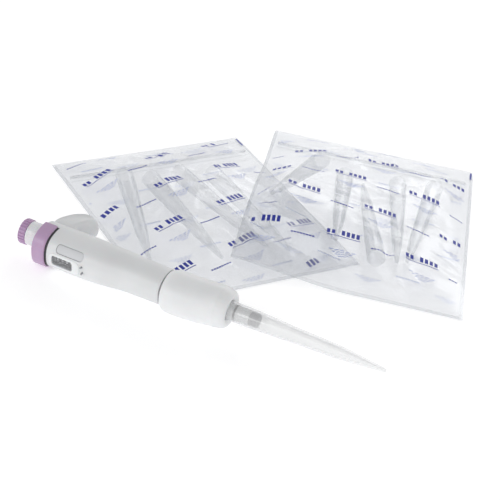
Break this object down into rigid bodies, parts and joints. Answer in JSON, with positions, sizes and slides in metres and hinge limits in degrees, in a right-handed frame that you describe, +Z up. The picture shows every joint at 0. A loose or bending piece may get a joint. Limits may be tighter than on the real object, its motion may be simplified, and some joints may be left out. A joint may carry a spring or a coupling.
{
  "type": "single-channel pipette with bagged spare tips",
  "caption": "Adjustable air-displacement hand pipette lying on its side with a long tip mounted, beside two press-seal bags of loose spare tips.",
  "frame": {"origin": "centre of the bounding box at the table surface", "axes": "+X along the pipette from its button to its tip, +Y from the pipette towards the bags, +Z up"},
  "size_m": [0.3614, 0.352, 0.0399],
  "materials": {
    "violet_plastic": "moulded satin plastic",
    "stem_plastic": "milky translucent plastic",
    "shell_plastic": "moulded satin plastic",
    "inner_plastic": "moulded matt plastic",
    "steel": "fine turned or drawn",
    "window_plastic": "clear polished plastic",
    "wheel_plastic": "dark plastic with pale printed digits",
    "rubber": "soft moulded rubber",
    "filter": "porous grey filter",
    "tip_plastic": "translucent polypropylene",
    "film_plastic": "clear polyethylene film, 80 micrometres in life"
  },
  "bodies": {
    "handle": {"handle_shell": "shell_plastic", "finger_hook": "shell_plastic", "display_window": "window_plastic", "adjustment_cover": "shell_plastic", "adjustment_screw": "steel", "stem_bearing": "inner_plastic", "counter_carrier": "inner_plastic", "counter_axle": "steel", "volume_stop_nut": "steel", "blow_out_washer": "steel", "blow_out_spring": "steel", "spring_seat": "inner_plastic", "coupling_ring": "inner_plastic", "cylinder_cone": "inner_plastic", "cone_ring": "rubber", "cone_filter": "filter", "ejector_spring_seat": "inner_plastic", "return_spring": "steel", "ejector_spring": "steel"},
    "plunger": {"operating_rod": "steel", "stop_collar": "steel", "piston": "inner_plastic", "piston_seal": "rubber"},
    "dial": {"button_cap": "violet_plastic", "button_stem": "stem_plastic", "drive_sleeve": "inner_plastic"},
    "drive_gear": {"drive_gear": "inner_plastic"},
    "ones_wheel": {"wheel_ones": "wheel_plastic"},
    "tenths_wheel": {"wheel_tenths": "wheel_plastic"},
    "hundredths_wheel": {"wheel_hundredths": "wheel_plastic", "wheel_fine_scale": "wheel_plastic", "counter_pinion": "steel"},
    "ejector": {"ejector_collar": "violet_plastic", "ejector_rod": "steel", "sleeve_clip": "inner_plastic", "ejector_sleeve": "shell_plastic"},
    "tip": {"mounted_tip": "tip_plastic"},
    "bag_1": {"bag_1_back_film": "film_plastic", "bag_1_front_film": "film_plastic", "bag_1_zip_rib": "film_plastic", "bag_1_zip_groove": "film_plastic", "bag_1_tip_1": "tip_plastic", "bag_1_tip_2": "tip_plastic", "bag_1_tip_3": "tip_plastic", "bag_1_tip_4": "tip_plastic"},
    "bag_2": {"bag_2_back_film": "film_plastic", "bag_2_front_film": "film_plastic", "bag_2_zip_rib": "film_plastic", "bag_2_zip_groove": "film_plastic", "bag_2_tip_1": "tip_plastic", "bag_2_tip_2": "tip_plastic", "bag_2_tip_3": "tip_plastic", "bag_2_tip_4": "tip_plastic", "bag_2_tip_5": "tip_plastic"}
  },
  "joints": [
    {"name": "plunger_slide", "type": "slide", "parent": "handle", "child": "plunger", "axis": [1, 0, 0], "range_m": [0, 0.0138], "stiffness_N_per_m": 300, "springref_m": -0.004, "deforming": ["return_spring"]},
    {"name": "volume_turn", "type": "hinge", "parent": "plunger", "child": "dial", "pos_m": [-0.1022, -0.1562, 0.0163], "axis": [1, 0, 0], "range_deg": [-1800, 2250]},
    {"name": "drive_gear_turn", "type": "hinge", "parent": "handle", "child": "drive_gear", "pos_m": [-0.1022, -0.1562, 0.0163], "axis": [1, 0, 0], "range_deg": [-1802.3, 2252.75]},
    {"name": "ones_wheel_turn", "type": "hinge", "parent": "handle", "child": "ones_wheel", "pos_m": [-0.0922, -0.16632, 0.01506], "axis": [1, 0, 0], "range_deg": [-90.59, 72.57]},
    {"name": "tenths_wheel_turn", "type": "hinge", "parent": "handle", "child": "tenths_wheel", "pos_m": [-0.0922, -0.16632, 0.01506], "axis": [1, 0, 0], "range_deg": [-901.4, 721.22]},
    {"name": "hundredths_wheel_turn", "type": "hinge", "parent": "handle", "child": "hundredths_wheel", "pos_m": [-0.0922, -0.16632, 0.01506], "axis": [1, 0, 0], "range_deg": [-9009.5, 7207.7]},
    {"name": "ejector_slide", "type": "slide", "parent": "handle", "child": "ejector", "axis": [1, 0, 0], "range_m": [0, 0.008], "stiffness_N_per_m": 400, "springref_m": -0.004, "deforming": ["ejector_spring"]},
    {"name": "tip_slide", "type": "slide", "parent": "handle", "child": "tip", "axis": [1, 0, 0], "range_m": [0, 0.0081]},
    {"name": "bag_1_lift", "type": "slide", "parent": "handle", "child": "bag_1", "axis": [0, 0, 1], "range_m": [0, 0.12]},
    {"name": "bag_2_lift", "type": "slide", "parent": "bag_1", "child": "bag_2", "axis": [0, 0, 1], "range_m": [0, 0.12]}
  ],
  "couplings": [
    {"joint": "drive_gear_turn", "follows": "volume_turn", "ratio": 1},
    {"joint": "ones_wheel_turn", "follows": "volume_turn", "ratio": -0.04},
    {"joint": "tenths_wheel_turn", "follows": "volume_turn", "ratio": -0.4},
    {"joint": "hundredths_wheel_turn", "follows": "volume_turn", "ratio": -4},
    {"joint": "tip_slide", "follows": "ejector_slide", "ratio": 1}
  ]
}
